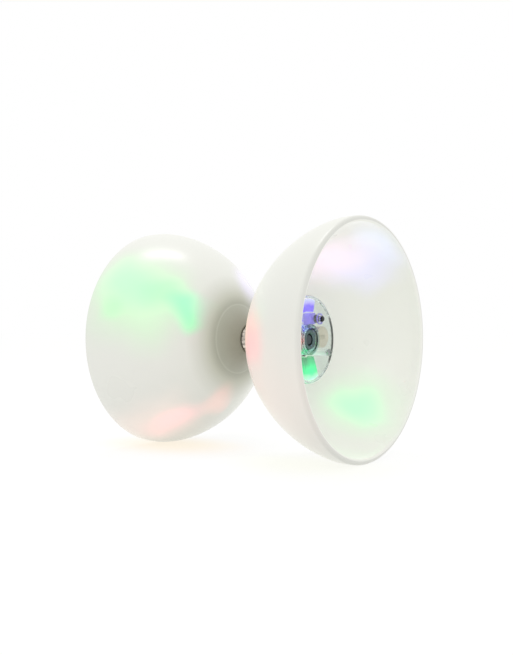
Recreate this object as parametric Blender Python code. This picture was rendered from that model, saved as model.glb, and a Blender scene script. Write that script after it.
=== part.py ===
"""A light-up diabolo, also called a Chinese yo-yo, on its side.

Two frosted cups are clamped on one axle.  A sleeve for the string runs on two small ball bearings
between them, and each cup holds a clear light module with three lights and three button cells.
The axle lies along X, +Z is up, and the origin is the middle of the axle.  All sizes are in metres.
"""
import math

import bmesh
import bpy
from mathutils import Matrix

MM = 0.001
GAP = 0.3 * MM               # clearance where two pieces seat on each other
MERGE = 0.001 * MM           # points nearer than this are one point

# Overall sizes
RIM_RADIUS = 62.5 * MM
OVERALL_LENGTH = 142.0 * MM
CUP_FACETS = 40              # a multiple of four, so that the cup lies on a flat facet
MODULE_FACETS = 28
HUB_FACETS = 24
SMALL_FACETS = 16
TINY_FACETS = 10

# Axle and its nuts
AXLE_RADIUS = 3.0 * MM
AXLE_CHAMFER = 0.5 * MM
NUT_WIDTH = 10.0 * MM        # across the flats
NUT_HEIGHT = 5.0 * MM
NUT_RECESS = 0.2 * MM        # below the front of the light module
AXLE_RECESS = 1.0 * MM       # axle end below the front of the light module
WASHER_RADIUS = 5.4 * MM
WASHER_THICKNESS = 1.0 * MM

# Ball bearings
BEARING_WIDTH = 4.0 * MM
RACE_WALL = 0.8 * MM
RACE_SPACE = 1.1 * MM        # radial space between the two races
BALL_RADIUS = 0.72 * MM
BALL_GROOVE = 0.9 * MM       # radius of the track that the balls run in
BALL_COUNT = 7
CAGE_WALL = 0.5 * MM
CAGE_WIDTH = 1.1 * MM

# String sleeve and hub bushes
SLEEVE_WALL = 1.8 * MM
SLEEVE_LAND = 0.85 * MM      # plain band at each end of the string groove
STRING_GROOVE = 0.9 * MM     # depth of the string groove
NOSE_WALL = 0.8 * MM         # the bush's nose presses on the inner race only
FLANGE_RADIUS = 7.9 * MM
FLANGE_THICKNESS = 1.5 * MM
SPIGOT_WALL = 1.7 * MM
SPIGOT_SETBACK = 0.7 * MM    # spigot end below the cup's floor

# Cup
CUP_WALL = 3.0 * MM
LIP_ROUND = 1.8 * MM
LIP_LAND = 1.2 * MM          # flat ring on the crest of the lip
RIM_BAND = 3.0 * MM          # straight band next to the lip, on which the cup lies
BOSS_LENGTH = 8.45 * MM
BOSS_EDGE = 1.0 * MM         # ring of cup round the bush's flange
BOSS_INSET = 3.8 * MM        # boss radius less than the light module's
FLOOR_THICKNESS = 4.5 * MM
FLOOR_CLEARANCE = 2.6 * MM   # round the light module, at the floor
BOWL_POWER_X = 1.22          # shape of the bell along the axle
BOWL_POWER_R = 1.25          # shape of the bell across it

# Light module
CELL_RADIUS = 5.8 * MM
CELL_HEIGHT = 4.2 * MM
CELL_COUNT = 3
CELL_CHAMFER = 0.4 * MM
CONTACT_THICKNESS = 0.5 * MM
CONTACT_BORE = 1.5 * MM
CONTACT_RADIUS = 4.5 * MM
STRAP_THICKNESS = 0.3 * MM
STRAP_WIDTH = 2.4 * MM
RING_BORE_CLEARANCE = 0.6 * MM   # round the nut's corners
RING_WALL = 1.7 * MM
RING_HEIGHT = 0.6 * MM       # centre ring above the cover
RING_DEPTH = 6.0 * MM        # centre ring below the cover's front
CELL_CLEARANCE = 0.4 * MM
COVER_WALL = 1.5 * MM
COVER_PLATE = 1.3 * MM
COVER_CHAMFER = 1.0 * MM
TRAY_FLOOR = 1.5 * MM
TRAY_RING_WALL = 1.2 * MM
TRAY_RING_HEIGHT = 2.5 * MM
POST_WALL = 2.1 * MM         # of the centre post, round the axle
STANDOFF_WALL = 2.6 * MM     # the wider foot of that post carries the board
STANDOFF_HEIGHT = 4.0 * MM
BOARD_THICKNESS = 1.0 * MM
BOARD_SETBACK = 0.5 * MM     # board edge inside the cells' outer edge
NOTCH_CLEARANCE = 0.5 * MM
LED_RADIUS = 2.5 * MM
LED_FLANGE_RADIUS = 2.9 * MM
LED_FLANGE_HEIGHT = 1.0 * MM
LED_LENGTH = 8.4 * MM
LED_STANDOFF = 1.3 * MM      # from the cover's centre ring to the light's foot
SWITCH_WIDTH = 6.0 * MM
SWITCH_HEIGHT = 4.9 * MM
SWITCH_OFFSET = 1.4 * MM     # further out than the cells
BUTTON_RADIUS = 1.4 * MM
BUTTON_HOLE_CLEARANCE = 0.4 * MM
BUTTON_FLANGE_RADIUS = 2.2 * MM
BUTTON_FLANGE_HEIGHT = 1.0 * MM
BUTTON_PROUD = 0.8 * MM      # above the cover
BUTTON_TRAVEL = 1.0 * MM
SCREW_RADIUS = 0.8 * MM
SCREW_HEAD_RADIUS = 1.9 * MM
SCREW_HEAD_HEIGHT = 1.0 * MM
SCREW_LENGTH = 7.0 * MM
SCREW_INSET = 4.2 * MM       # from the module's edge to a screw's axis
SCREW_BOSS_WALL = 0.8 * MM
SCREW_ANGLES = tuple(math.radians(a) for a in (-27, 135, 225))
LED_ANGLES = tuple(math.radians(a) for a in (90, 180, 270))
MODULE_TURN = {"right": math.radians(5), "left": math.radians(210)}

# Places along the axle, each measured from the middle
bearing_end = GAP / 2 + BEARING_WIDTH
sleeve_end = bearing_end + GAP
flange_start = sleeve_end + GAP
flange_end = flange_start + FLANGE_THICKNESS
flange_seat = flange_end + GAP
boss_end = flange_start + BOSS_LENGTH
cup_floor = boss_end + FLOOR_THICKNESS
tray_start = cup_floor + GAP
tray_top = tray_start + TRAY_FLOOR
contact_start = tray_top + GAP
cells_start = contact_start + CONTACT_THICKNESS + GAP
cells_end = cells_start + CELL_COUNT * (CELL_HEIGHT + GAP) - GAP
strap_start = cells_end + GAP
plate_start = strap_start + STRAP_THICKNESS + GAP
module_front = plate_start + COVER_PLATE
board_start = tray_top + STANDOFF_HEIGHT + GAP
board_end = board_start + BOARD_THICKNESS
led_axis = board_end + GAP + LED_FLANGE_RADIUS
nut_start = module_front - NUT_RECESS - NUT_HEIGHT
washer_start = nut_start - GAP - WASHER_THICKNESS
post_end = washer_start - GAP
axle_end = module_front - AXLE_RECESS
lip_start = OVERALL_LENGTH / 2 - LIP_ROUND
bell_end = lip_start - RIM_BAND

# Distances from the axle
axle_bore = AXLE_RADIUS + GAP
inner_race_radius = axle_bore + RACE_WALL
outer_race_bore = inner_race_radius + RACE_SPACE
outer_race_radius = outer_race_bore + RACE_WALL
ball_pitch = inner_race_radius + RACE_SPACE / 2
sleeve_bore = outer_race_radius + GAP
sleeve_radius = sleeve_bore + SLEEVE_WALL
spigot_radius = axle_bore + SPIGOT_WALL
post_radius = axle_bore + POST_WALL
ring_bore = NUT_WIDTH / math.sqrt(3) + RING_BORE_CLEARANCE
ring_radius = ring_bore + RING_WALL
cell_centre = ring_radius + CELL_CLEARANCE + CELL_RADIUS
tray_ring_bore = cell_centre + CELL_RADIUS + GAP
cover_bore = tray_ring_bore + TRAY_RING_WALL + GAP
module_radius = cover_bore + COVER_WALL
boss_radius = module_radius - BOSS_INSET
screw_centre = module_radius - SCREW_INSET
switch_centre = cell_centre + SWITCH_OFFSET
switch_to_cell = CELL_RADIUS + SWITCH_WIDTH / math.sqrt(2) + GAP
switch_angle = math.acos((cell_centre ** 2 + switch_centre ** 2 - switch_to_cell ** 2)
                         / (2 * cell_centre * switch_centre))

# Finishes: colour, roughness, metallic, transmission
FINISHES = {
    "frosted_plastic": ((0.86, 0.87, 0.85), 0.45, 0.0, 0.0),
    "clear_plastic": ((0.95, 0.97, 0.97), 0.08, 0.0, 0.9),
    "clear_base_plastic": ((0.82, 0.86, 0.86), 0.25, 0.0, 0.5),
    "nickel_plate": ((0.78, 0.76, 0.72), 0.18, 1.0, 0.0),
    "hub_alloy": ((0.72, 0.72, 0.72), 0.30, 1.0, 0.0),
    "axle_steel": ((0.55, 0.55, 0.55), 0.35, 1.0, 0.0),
    "bearing_steel": ((0.62, 0.62, 0.64), 0.15, 1.0, 0.0),
    "ball_steel": ((0.70, 0.70, 0.72), 0.10, 1.0, 0.0),
    "nut_zinc": ((0.60, 0.62, 0.62), 0.30, 1.0, 0.0),
    "screw_zinc": ((0.66, 0.66, 0.64), 0.30, 1.0, 0.0),
    "cell_steel": ((0.72, 0.68, 0.58), 0.35, 1.0, 0.0),
    "contact_brass": ((0.76, 0.62, 0.36), 0.30, 1.0, 0.0),
    "circuit_board": ((0.62, 0.66, 0.58), 0.55, 0.0, 0.0),
    "led_blue": ((0.36, 0.20, 0.95), 0.15, 0.0, 0.3),
    "led_red": ((0.95, 0.10, 0.08), 0.15, 0.0, 0.3),
    "led_green": ((0.05, 0.90, 0.40), 0.15, 0.0, 0.3),
    "switch_case": ((0.85, 0.85, 0.83), 0.45, 0.0, 0.0),
    "button_black": ((0.02, 0.02, 0.02), 0.40, 0.0, 0.0),
}


def circle_points(centre, radius, start, end, steps):
    """Points of an arc in the (x, radius) plane, with its angles in degrees."""
    angles = [math.radians(start + (end - start) * i / steps) for i in range(steps + 1)]
    return [(centre[0] + radius * math.cos(a), centre[1] + radius * math.sin(a)) for a in angles]


def shaded(mesh):
    """Shade a mesh smooth, with its real edges kept sharp."""
    mesh.shade_smooth()
    mesh.set_sharp_from_angle(angle=math.radians(35))
    return mesh


def turned(outline, facets, closed=True, flats_on_outline=False):
    """Turn an outline of (x, radius) points about the X axis, with a flat facet facing down."""
    bm = bmesh.new()
    half_facet = math.pi / facets
    reach = 1 / math.cos(half_facet) if flats_on_outline else 1
    ring = []
    for x, radius in outline:
        corner = radius * reach
        ring.append(bm.verts.new((x, corner * math.cos(half_facet), corner * math.sin(half_facet))))
    edges = [bm.edges.new(pair) for pair in zip(ring, ring[1:])]
    if closed:
        edges.append(bm.edges.new((ring[-1], ring[0])))
    bmesh.ops.spin(bm, geom=ring + edges, cent=(0, 0, 0), axis=(1, 0, 0), dvec=(0, 0, 0),
                   angle=math.tau, steps=facets, use_merge=True, use_duplicate=False)
    bmesh.ops.remove_doubles(bm, verts=bm.verts, dist=MERGE)
    bmesh.ops.recalc_face_normals(bm, faces=bm.faces)
    mesh = bpy.data.meshes.new("turned")
    bm.to_mesh(mesh)
    bm.free()
    return shaded(mesh)


def disc(start, end, radius, facets, bore=0.0, chamfer=0.0):
    """A round plate, rod or washer between two places on the X axis."""
    rim = [(start, radius), (end - chamfer, radius)]
    if chamfer:
        rim.append((end, radius - chamfer))
    if bore:
        return turned([(start, bore)] + rim + [(end, bore)], facets)
    return turned([(start, 0.0)] + rim + [(end, 0.0)], facets, closed=False)


def block(x_span, y_span, z_span):
    """A rectangular block between pairs of coordinates."""
    bm = bmesh.new()
    spans = (x_span, y_span, z_span)
    middle = Matrix.Translation([(low + high) / 2 for low, high in spans])
    size = Matrix.Diagonal([high - low for low, high in spans] + [1])
    bmesh.ops.create_cube(bm, size=1.0, matrix=middle @ size)
    mesh = bpy.data.meshes.new("block")
    bm.to_mesh(mesh)
    bm.free()
    return mesh


def moved(mesh, matrix):
    """A copy of a mesh, moved by a matrix."""
    copy = mesh.copy()
    copy.transform(matrix)
    return copy


def at_polar(angle, radius, x=0.0):
    """The place at an angle and a distance from the axle, turned to face outwards."""
    return Matrix.Rotation(angle, 4, "X") @ Matrix.Translation((x, radius, 0))


def combined(base, tools, operation):
    """The mesh left after tool meshes are joined to a base mesh or cut from it."""
    collection = bpy.context.scene.collection
    host = bpy.data.objects.new("host", base)
    collection.objects.link(host)
    guides = []
    for tool in tools:
        guide = bpy.data.objects.new("guide", tool)
        guide.hide_render = True
        guide.display_type = "WIRE"
        collection.objects.link(guide)
        guides.append(guide)
        modifier = host.modifiers.new("combine", "BOOLEAN")
        modifier.operation = operation
        modifier.solver = "EXACT"
        modifier.object = guide
    depsgraph = bpy.context.evaluated_depsgraph_get()
    result = bpy.data.meshes.new_from_object(host.evaluated_get(depsgraph))
    for helper in [host] + guides:
        bpy.data.objects.remove(helper)
    return shaded(result)


def bowl_point(t, depth=0.0):
    """A point of the bell's outer curve, or one at a depth under it; t runs from 0 to a right angle."""
    length = bell_end - boss_end
    spread = RIM_RADIUS - boss_radius
    x = bell_end - length * math.cos(t) ** BOWL_POWER_X
    radius = boss_radius + spread * math.sin(t) ** BOWL_POWER_R
    along_x = BOWL_POWER_X * length * math.cos(t) ** (BOWL_POWER_X - 1) * math.sin(t)
    along_r = BOWL_POWER_R * spread * math.sin(t) ** (BOWL_POWER_R - 1) * math.cos(t)
    slope = math.hypot(along_x, along_r)
    return x + depth * along_r / slope, radius - depth * along_x / slope


def cup_mesh():
    """A bell-shaped cup with a bored boss, a flat floor and a rounded lip."""
    outside = [bowl_point(math.radians(a)) for a in (9, 18, 27, 36, 46, 57, 70)]
    inside = [bowl_point(math.radians(a), CUP_WALL) for a in (72, 57, 46, 36, 28, 22)]
    lip_outer = circle_points((lip_start, RIM_RADIUS - LIP_ROUND), LIP_ROUND, 90, 0, 3)
    lip_inner_radius = RIM_RADIUS - LIP_ROUND - LIP_LAND
    lip_inner = circle_points((lip_start, lip_inner_radius), LIP_ROUND, 0, -90, 3)
    outline = [
        (flange_seat, FLANGE_RADIUS + GAP),
        (flange_start, FLANGE_RADIUS + GAP),
        (flange_start, FLANGE_RADIUS + GAP + BOSS_EDGE),
        (boss_end, boss_radius),
        *outside,
        (bell_end, RIM_RADIUS),
        *lip_outer,
        *lip_inner,
        *inside,
        (cup_floor, module_radius + FLOOR_CLEARANCE),
        (cup_floor, spigot_radius + GAP),
        (flange_seat, spigot_radius + GAP),
    ]
    return turned(outline, CUP_FACETS, flats_on_outline=True)


def axle_mesh():
    """The axle, with a chamfer at each end."""
    outline = [
        (-axle_end, 0.0),
        (-axle_end, AXLE_RADIUS - AXLE_CHAMFER),
        (-axle_end + AXLE_CHAMFER, AXLE_RADIUS),
        (axle_end - AXLE_CHAMFER, AXLE_RADIUS),
        (axle_end, AXLE_RADIUS - AXLE_CHAMFER),
        (axle_end, 0.0),
    ]
    return turned(outline, SMALL_FACETS, closed=False)


def sleeve_mesh():
    """The spool that the string runs on."""
    half_groove = sleeve_end - SLEEVE_LAND
    groove = []
    for i in range(5):
        x = half_groove * (i / 2 - 1)
        groove.append((x, sleeve_radius - STRING_GROOVE * (1 - (x / half_groove) ** 2)))
    outline = [(-sleeve_end, sleeve_bore), (-sleeve_end, sleeve_radius), *groove,
               (sleeve_end, sleeve_radius), (sleeve_end, sleeve_bore)]
    return turned(outline, HUB_FACETS)


def bush_mesh():
    """The flanged bush in a cup's boss, whose nose presses on the bearing's inner race."""
    nose_radius = axle_bore + NOSE_WALL
    outline = [
        (sleeve_end, axle_bore),
        (sleeve_end, nose_radius),
        (flange_start, nose_radius),
        (flange_start, FLANGE_RADIUS),
        (flange_end, FLANGE_RADIUS),
        (flange_end, spigot_radius),
        (cup_floor - SPIGOT_SETBACK, spigot_radius),
        (cup_floor - SPIGOT_SETBACK, axle_bore),
    ]
    return turned(outline, SMALL_FACETS)


def inner_race_mesh():
    """A bearing's inner race, with the balls' track round its outside."""
    middle = GAP / 2 + BEARING_WIDTH / 2
    half_angle = math.degrees(math.acos((ball_pitch - inner_race_radius) / BALL_GROOVE))
    track = circle_points((middle, ball_pitch), BALL_GROOVE, 270 - half_angle, 270 + half_angle, 4)
    outline = [(GAP / 2, axle_bore), (GAP / 2, inner_race_radius), *track,
               (bearing_end, inner_race_radius), (bearing_end, axle_bore)]
    return turned(outline, SMALL_FACETS)


def outer_race_mesh():
    """A bearing's outer race, with the balls' track round its inside."""
    middle = GAP / 2 + BEARING_WIDTH / 2
    half_angle = math.degrees(math.acos((outer_race_bore - ball_pitch) / BALL_GROOVE))
    track = circle_points((middle, ball_pitch), BALL_GROOVE, 90 + half_angle, 90 - half_angle, 4)
    outline = [(GAP / 2, outer_race_radius), (GAP / 2, outer_race_bore), *track,
               (bearing_end, outer_race_bore), (bearing_end, outer_race_radius)]
    return turned(outline, SMALL_FACETS)


def ball_cage_mesh():
    """A ring that holds the bearing's balls at equal spaces."""
    middle = GAP / 2 + BEARING_WIDTH / 2
    cage = disc(middle - CAGE_WIDTH / 2, middle + CAGE_WIDTH / 2, ball_pitch + CAGE_WALL / 2,
                2 * BALL_COUNT, bore=ball_pitch - CAGE_WALL / 2)
    bm = bmesh.new()
    for i in range(BALL_COUNT):
        place = at_polar(math.tau * i / BALL_COUNT, ball_pitch, middle)
        bmesh.ops.create_uvsphere(bm, u_segments=6, v_segments=4, radius=BALL_RADIUS, matrix=place)
    balls = bpy.data.meshes.new("balls")
    bm.to_mesh(balls)
    bm.free()
    return combined(cage, [balls], "UNION")


def nut_mesh():
    """The hexagonal nut on the axle's end."""
    corner = NUT_WIDTH / math.sqrt(3)
    hexagon = disc(nut_start, nut_start + NUT_HEIGHT, corner, 6)
    bore = disc(nut_start - GAP, nut_start + NUT_HEIGHT + GAP, axle_bore, SMALL_FACETS)
    return combined(hexagon, [bore], "DIFFERENCE")


def tray_mesh():
    """The module's base, with a centre post, a locating ring and three screw bosses."""
    ring_radius_out = cover_bore - GAP
    standoff_end = board_start - GAP
    body = turned([
        (tray_start, axle_bore),
        (tray_start, module_radius),
        (tray_top, module_radius),
        (tray_top, ring_radius_out),
        (tray_top + TRAY_RING_HEIGHT, ring_radius_out),
        (tray_top + TRAY_RING_HEIGHT, tray_ring_bore),
        (tray_top, tray_ring_bore),
        (tray_top, post_radius + STANDOFF_WALL),
        (standoff_end, post_radius + STANDOFF_WALL),
        (standoff_end, post_radius),
        (post_end, post_radius),
        (post_end, axle_bore),
    ], MODULE_FACETS)
    hole = SCREW_RADIUS + GAP
    boss_top = plate_start - GAP
    boss = turned([
        (tray_start + TRAY_FLOOR / 2, 0.0),
        (tray_start + TRAY_FLOOR / 2, hole + SCREW_BOSS_WALL),
        (boss_top, hole + SCREW_BOSS_WALL),
        (boss_top, hole),
        (module_front - SCREW_LENGTH, hole),
        (module_front - SCREW_LENGTH, 0.0),
    ], TINY_FACETS, closed=False)
    bosses = [moved(boss, at_polar(angle, screw_centre)) for angle in SCREW_ANGLES]
    return combined(body, bosses, "UNION")


def cover_mesh():
    """The module's clear cover, with a centre ring and holes for the button and the screws."""
    body = turned([
        (tray_top + GAP, cover_bore),
        (tray_top + GAP, module_radius),
        (module_front - COVER_CHAMFER, module_radius),
        (module_front, module_radius - COVER_CHAMFER),
        (module_front, ring_radius),
        (module_front + RING_HEIGHT, ring_radius),
        (module_front + RING_HEIGHT, ring_bore),
        (module_front - RING_DEPTH, ring_bore),
        (module_front - RING_DEPTH, ring_radius),
        (plate_start, ring_radius),
        (plate_start, cover_bore),
    ], MODULE_FACETS)
    cut_start = plate_start - GAP
    cut_end = module_front + GAP
    button_hole = disc(cut_start, cut_end, BUTTON_RADIUS + BUTTON_HOLE_CLEARANCE, TINY_FACETS)
    screw_hole = disc(cut_start, cut_end, SCREW_RADIUS + GAP, TINY_FACETS)
    cutters = [moved(button_hole, at_polar(switch_angle, switch_centre))]
    cutters += [moved(screw_hole, at_polar(angle, screw_centre)) for angle in SCREW_ANGLES]
    return combined(body, cutters, "DIFFERENCE")


def board_mesh():
    """The circuit board, notched round the cells and the screw bosses."""
    board = disc(board_start, board_end, cell_centre + CELL_RADIUS - BOARD_SETBACK,
                 MODULE_FACETS, bore=post_radius + GAP)
    cut_start = board_start - GAP
    cut_end = board_end + GAP
    cell_notch = disc(cut_start, cut_end, CELL_RADIUS + NOTCH_CLEARANCE, SMALL_FACETS)
    boss_notch = disc(cut_start, cut_end, SCREW_RADIUS + GAP + SCREW_BOSS_WALL + GAP, TINY_FACETS)
    cutters = [moved(cell_notch, at_polar(0, cell_centre))]
    cutters += [moved(boss_notch, at_polar(angle, screw_centre)) for angle in SCREW_ANGLES]
    return combined(board, cutters, "DIFFERENCE")


def led_mesh():
    """A round light with a foot flange and a domed end, along X from its foot."""
    dome_start = LED_LENGTH - LED_RADIUS
    dome = circle_points((dome_start, 0.0), LED_RADIUS, 90, 0, 3)
    outline = [
        (0.0, 0.0),
        (0.0, LED_FLANGE_RADIUS),
        (LED_FLANGE_HEIGHT, LED_FLANGE_RADIUS),
        (LED_FLANGE_HEIGHT, LED_RADIUS),
        *dome[:-1],
        (LED_LENGTH, 0.0),
    ]
    return turned(outline, TINY_FACETS, closed=False)


def strap_mesh():
    """The contact strap over the cells, with a leg down to the board."""
    reach = CELL_RADIUS + CELL_CLEARANCE
    half = STRAP_WIDTH / 2
    top = block((strap_start, strap_start + STRAP_THICKNESS), (-half, half), (-reach - STRAP_THICKNESS, half))
    leg = block((board_end + GAP, strap_start + STRAP_THICKNESS), (-half, half),
                (-reach - STRAP_THICKNESS, -reach))
    return combined(top, [leg], "UNION")


def button_mesh():
    """The push button, with the flange that keeps it in the cover."""
    flange_base = board_end + GAP + SWITCH_HEIGHT + GAP + BUTTON_TRAVEL
    outline = [
        (flange_base, 0.0),
        (flange_base, BUTTON_FLANGE_RADIUS),
        (flange_base + BUTTON_FLANGE_HEIGHT, BUTTON_FLANGE_RADIUS),
        (flange_base + BUTTON_FLANGE_HEIGHT, BUTTON_RADIUS),
        (module_front + BUTTON_PROUD, BUTTON_RADIUS),
        (module_front + BUTTON_PROUD, 0.0),
    ]
    return turned(outline, TINY_FACETS, closed=False)


def screw_mesh():
    """A small pan-head screw, from the front."""
    head_start = module_front + GAP
    outline = [
        (module_front - SCREW_LENGTH + GAP, 0.0),
        (module_front - SCREW_LENGTH + GAP, SCREW_RADIUS),
        (head_start, SCREW_RADIUS),
        (head_start, SCREW_HEAD_RADIUS),
        (head_start + SCREW_HEAD_HEIGHT / 2, SCREW_HEAD_RADIUS),
        (head_start + SCREW_HEAD_HEIGHT, SCREW_HEAD_RADIUS / 2),
        (head_start + SCREW_HEAD_HEIGHT, 0.0),
    ]
    return turned(outline, TINY_FACETS, closed=False)


def finish(name):
    """The material of a finish, made once."""
    if name in bpy.data.materials:
        return bpy.data.materials[name]
    colour, roughness, metallic, transmission = FINISHES[name]
    material = bpy.data.materials.new(name)
    material.use_nodes = True
    shader = material.node_tree.nodes["Principled BSDF"]
    shader.inputs["Base Color"].default_value = (*colour, 1.0)
    shader.inputs["Roughness"].default_value = roughness
    shader.inputs["Metallic"].default_value = metallic
    shader.inputs["Transmission Weight"].default_value = transmission
    return material


def empty(name, parent=None, rotation=(0.0, 0.0, 0.0)):
    """An empty that carries pieces."""
    carrier = bpy.data.objects.new(name, None)
    carrier.parent = parent
    carrier.rotation_euler = rotation
    bpy.context.scene.collection.objects.link(carrier)
    return carrier


def place(name, mesh, finish_name, parent, matrix=Matrix()):
    """A named piece with its own copy of a mesh, at a place in its parent's frame."""
    piece = bpy.data.objects.new(name, mesh.copy())
    piece.data.name = name
    piece.data.materials.clear()
    piece.data.materials.append(finish(finish_name))
    piece.parent = parent
    piece.matrix_local = matrix
    bpy.context.scene.collection.objects.link(piece)
    return piece


def light_module(side, carrier, led_colours, meshes):
    """One light module, with its cells along the carrier's own Y axis."""
    for name, finish_name in (("light_tray", "clear_base_plastic"), ("light_cover", "clear_plastic"),
                              ("circuit_board", "circuit_board")):
        place(f"{side}_{name}", meshes[name], finish_name, carrier)
    for angle, colour in zip(LED_ANGLES, led_colours):
        lying = at_polar(angle, ring_radius + LED_STANDOFF, led_axis) @ Matrix.Rotation(math.pi / 2, 4, "Z")
        place(f"{side}_led_{colour}", meshes["led"], f"led_{colour}", carrier, lying)
    for i in range(CELL_COUNT):
        stacked = at_polar(0, cell_centre, cells_start + i * (CELL_HEIGHT + GAP))
        place(f"{side}_cell_{i + 1}", meshes["cell"], "cell_steel", carrier, stacked)
    place(f"{side}_cell_contact", meshes["contact"], "contact_brass", carrier, at_polar(0, cell_centre))
    place(f"{side}_contact_strap", meshes["strap"], "contact_brass", carrier, at_polar(0, cell_centre))
    switch_place = at_polar(switch_angle, switch_centre)
    place(f"{side}_switch_body", meshes["switch"], "switch_case", carrier, switch_place)
    place(f"{side}_switch_button", meshes["button"], "button_black", carrier, switch_place)
    for i, angle in enumerate(SCREW_ANGLES):
        place(f"{side}_cover_screw_{i + 1}", meshes["screw"], "screw_zinc", carrier,
              at_polar(angle, screw_centre))


def main():
    """Build the whole diabolo."""
    for old in list(bpy.data.objects):
        bpy.data.objects.remove(old)
    half_switch = SWITCH_WIDTH / 2
    switch_span = (-half_switch, half_switch)
    side_meshes = {
        "cup": (cup_mesh(), "frosted_plastic"),
        "hub_bush": (bush_mesh(), "hub_alloy"),
        "inner_race": (inner_race_mesh(), "bearing_steel"),
        "outer_race": (outer_race_mesh(), "bearing_steel"),
        "ball_cage": (ball_cage_mesh(), "ball_steel"),
        "axle_washer": (disc(washer_start, washer_start + WASHER_THICKNESS, WASHER_RADIUS, SMALL_FACETS,
                             bore=axle_bore), "nut_zinc"),
        "axle_nut": (nut_mesh(), "nut_zinc"),
    }
    module_meshes = {
        "light_tray": tray_mesh(),
        "light_cover": cover_mesh(),
        "circuit_board": board_mesh(),
        "led": led_mesh(),
        "cell": disc(0.0, CELL_HEIGHT, CELL_RADIUS, SMALL_FACETS, chamfer=CELL_CHAMFER),
        "contact": disc(contact_start, contact_start + CONTACT_THICKNESS, CONTACT_RADIUS, SMALL_FACETS,
                        bore=CONTACT_BORE),
        "strap": strap_mesh(),
        "switch": block((board_end + GAP, board_end + GAP + SWITCH_HEIGHT), switch_span, switch_span),
        "button": button_mesh(),
        "screw": screw_mesh(),
    }
    place("axle", axle_mesh(), "axle_steel", None)
    place("string_sleeve", sleeve_mesh(), "nickel_plate", None)
    led_orders = {"right": ("blue", "red", "green"), "left": ("red", "green", "blue")}
    for side, heading in (("right", 0.0), ("left", math.pi)):
        side_carrier = empty(f"{side}_side", rotation=(0.0, 0.0, heading))
        for name, (mesh, finish_name) in side_meshes.items():
            place(f"{side}_{name}", mesh, finish_name, side_carrier)
        module_carrier = empty(f"{side}_module", side_carrier, (MODULE_TURN[side], 0.0, 0.0))
        light_module(side, module_carrier, led_orders[side], module_meshes)


main()
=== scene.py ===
"""A light-up diabolo, also called a Chinese yo-yo, lying on its side with its lights on.

Two frosted cups sit on one axle with a plated string sleeve between them.  Each cup holds a clear
light module with three lights, three stacked button cells, a switch and a circuit board.
The axle lies along X, +Z is up and the origin is the middle of the axle.  Lengths are in metres.
"""
import math

import bmesh
import bpy
from bpy.props import FloatProperty, FloatVectorProperty, IntProperty, PointerProperty
from mathutils import Matrix, Vector


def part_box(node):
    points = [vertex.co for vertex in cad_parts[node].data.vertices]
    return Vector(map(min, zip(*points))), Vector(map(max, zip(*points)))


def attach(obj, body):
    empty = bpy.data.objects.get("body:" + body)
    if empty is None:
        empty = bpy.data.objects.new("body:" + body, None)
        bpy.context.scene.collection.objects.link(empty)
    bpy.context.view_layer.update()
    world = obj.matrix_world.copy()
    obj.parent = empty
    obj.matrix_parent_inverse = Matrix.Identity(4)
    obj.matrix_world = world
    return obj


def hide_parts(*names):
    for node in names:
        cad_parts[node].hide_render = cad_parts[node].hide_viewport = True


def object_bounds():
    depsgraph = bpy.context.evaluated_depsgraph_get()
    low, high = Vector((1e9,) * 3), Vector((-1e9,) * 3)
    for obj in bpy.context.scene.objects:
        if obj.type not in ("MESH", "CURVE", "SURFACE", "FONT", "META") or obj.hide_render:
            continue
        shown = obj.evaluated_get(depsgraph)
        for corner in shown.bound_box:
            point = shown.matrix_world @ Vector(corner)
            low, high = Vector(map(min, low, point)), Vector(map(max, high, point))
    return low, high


bl_info = {
    "name": "Light-up diabolo",
    "version": (1, 0, 0),
    "blender": (4, 5, 0),
    "location": "View3D > Sidebar > Diabolo",
    "description": "Builds a light-up diabolo on its side, with its lights on, on a pale floor",
    "category": "Add Mesh",
}

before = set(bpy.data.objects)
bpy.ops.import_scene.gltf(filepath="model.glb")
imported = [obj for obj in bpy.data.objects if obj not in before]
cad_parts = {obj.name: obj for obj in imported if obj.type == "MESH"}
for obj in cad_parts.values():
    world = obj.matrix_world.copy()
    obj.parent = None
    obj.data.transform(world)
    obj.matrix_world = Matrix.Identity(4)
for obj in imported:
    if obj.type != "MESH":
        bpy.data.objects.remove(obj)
cad_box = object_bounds()

MM = 0.001
GAP = 0.3 * MM                # clearance between pieces that seat on each other
MERGE = 0.0005 * MM           # points nearer than this are one point
SHARP = math.radians(32)      # edges that turn more than this stay crisp
SIDES = ("right", "left")
ROUND = 128                   # steps round a cup
FINE = 96                     # steps round the module and the hub
SMALL = 40                    # steps round cells, lights and nuts
SCREW_ANGLES = tuple(math.radians(a) for a in (-27, 135, 225))
LIGHT_ANGLES = tuple(math.radians(a) for a in (90, 180, 270))
LIGHT_ORDER = {"right": ("blue", "red", "green"), "left": ("red", "green", "blue")}


def width(node, axis):
    """The size of a CAD node along one axis."""
    low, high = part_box(node)
    return high[axis] - low[axis]


def far(node):
    """The place of a CAD node's outer end along +X."""
    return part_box(node)[1][0]


def near(node):
    """The place of a CAD node's inner end along +X."""
    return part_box(node)[0][0]


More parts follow.
